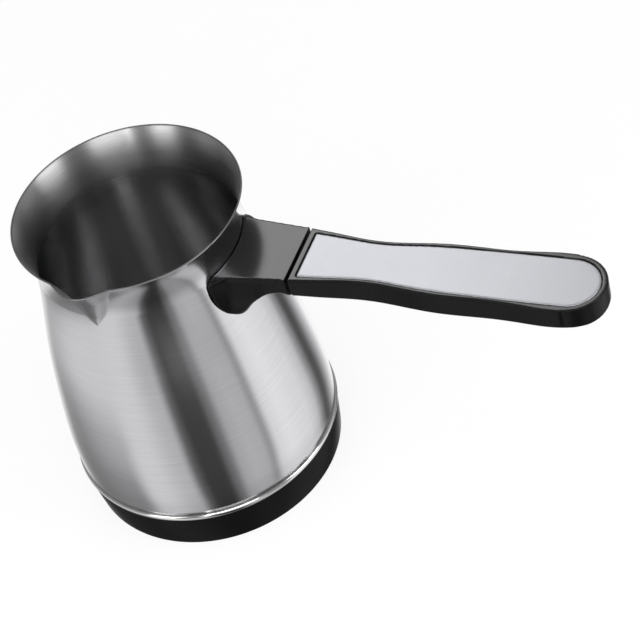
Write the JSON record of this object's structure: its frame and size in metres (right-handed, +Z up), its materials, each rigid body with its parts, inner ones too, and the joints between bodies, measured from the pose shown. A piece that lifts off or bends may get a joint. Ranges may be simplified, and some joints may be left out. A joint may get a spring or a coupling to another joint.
{
  "type": "electric turkish coffee pot",
  "caption": "Cordless electric coffee pot: flared steel jug with a pinched spout, black heated base with a central connector and a black handle that folds down.",
  "frame": {"origin": "centre of the base's underside, on the pot's axis", "axes": "+Z up, +X along the level handle, -Y towards the pouring spout"},
  "size_m": [0.2228, 0.1038, 0.1301],
  "materials": {
    "brushed_steel": "spun stainless steel with fine rings round the pot",
    "satin_steel": "satin stainless steel",
    "polished_steel": "polished stainless steel bead",
    "plain_steel": "zinc-plated steel",
    "spring_steel": "blued spring steel",
    "gloss_black": "gloss black moulded plastic",
    "matte_black": "fine-textured black plastic",
    "control_plastic": "glass-filled dark plastic",
    "silver_lacquer": "silver metallic lacquer",
    "silicone": "translucent white silicone",
    "cast_aluminium": "cast aluminium",
    "element_sheath": "dull element sheath",
    "brass": "bare brass",
    "bimetal": "bimetal strip",
    "ceramic": "white ceramic"
  },
  "bodies": {
    "pot": {"pot_body": "brushed_steel", "pot_floor": "satin_steel", "floor_studs": "plain_steel", "trim_ring": "polished_steel", "base_shell": "gloss_black", "shell_screws": "plain_steel", "base_gasket": "silicone", "base_cover": "matte_black", "cover_screws": "plain_steel", "heater_plate": "cast_aluminium", "heating_element": "element_sheath", "element_pins": "plain_steel", "terminal_clips": "brass", "controller_body": "control_plastic", "contact_rings": "brass", "centre_contact": "brass", "controller_screws": "plain_steel", "bimetal_discs": "bimetal", "push_rods": "ceramic", "socket_seal": "silicone", "weld_plate": "plain_steel", "handle_bracket": "gloss_black", "bracket_screws": "plain_steel"},
    "grip": {"grip_shell": "gloss_black", "grip_carrier": "matte_black", "grip_insert": "silver_lacquer", "grip_screws": "plain_steel", "hinge_pin": "plain_steel", "hinge_washers": "plain_steel", "latch_spring": "spring_steel"},
    "button": {"release_button": "matte_black"}
  },
  "joints": [
    {"name": "handle_fold", "type": "hinge", "parent": "pot", "child": "grip", "pos_m": [0.0659, 0, 0.10655], "axis": [0, 1, 0], "range_deg": [0, 90], "deforming": ["latch_spring"]},
    {"name": "release_press", "type": "slide", "parent": "grip", "child": "button", "axis": [0, 0, 1], "range_m": [0, 0.0015], "stiffness_N_per_m": 800}
  ]
}
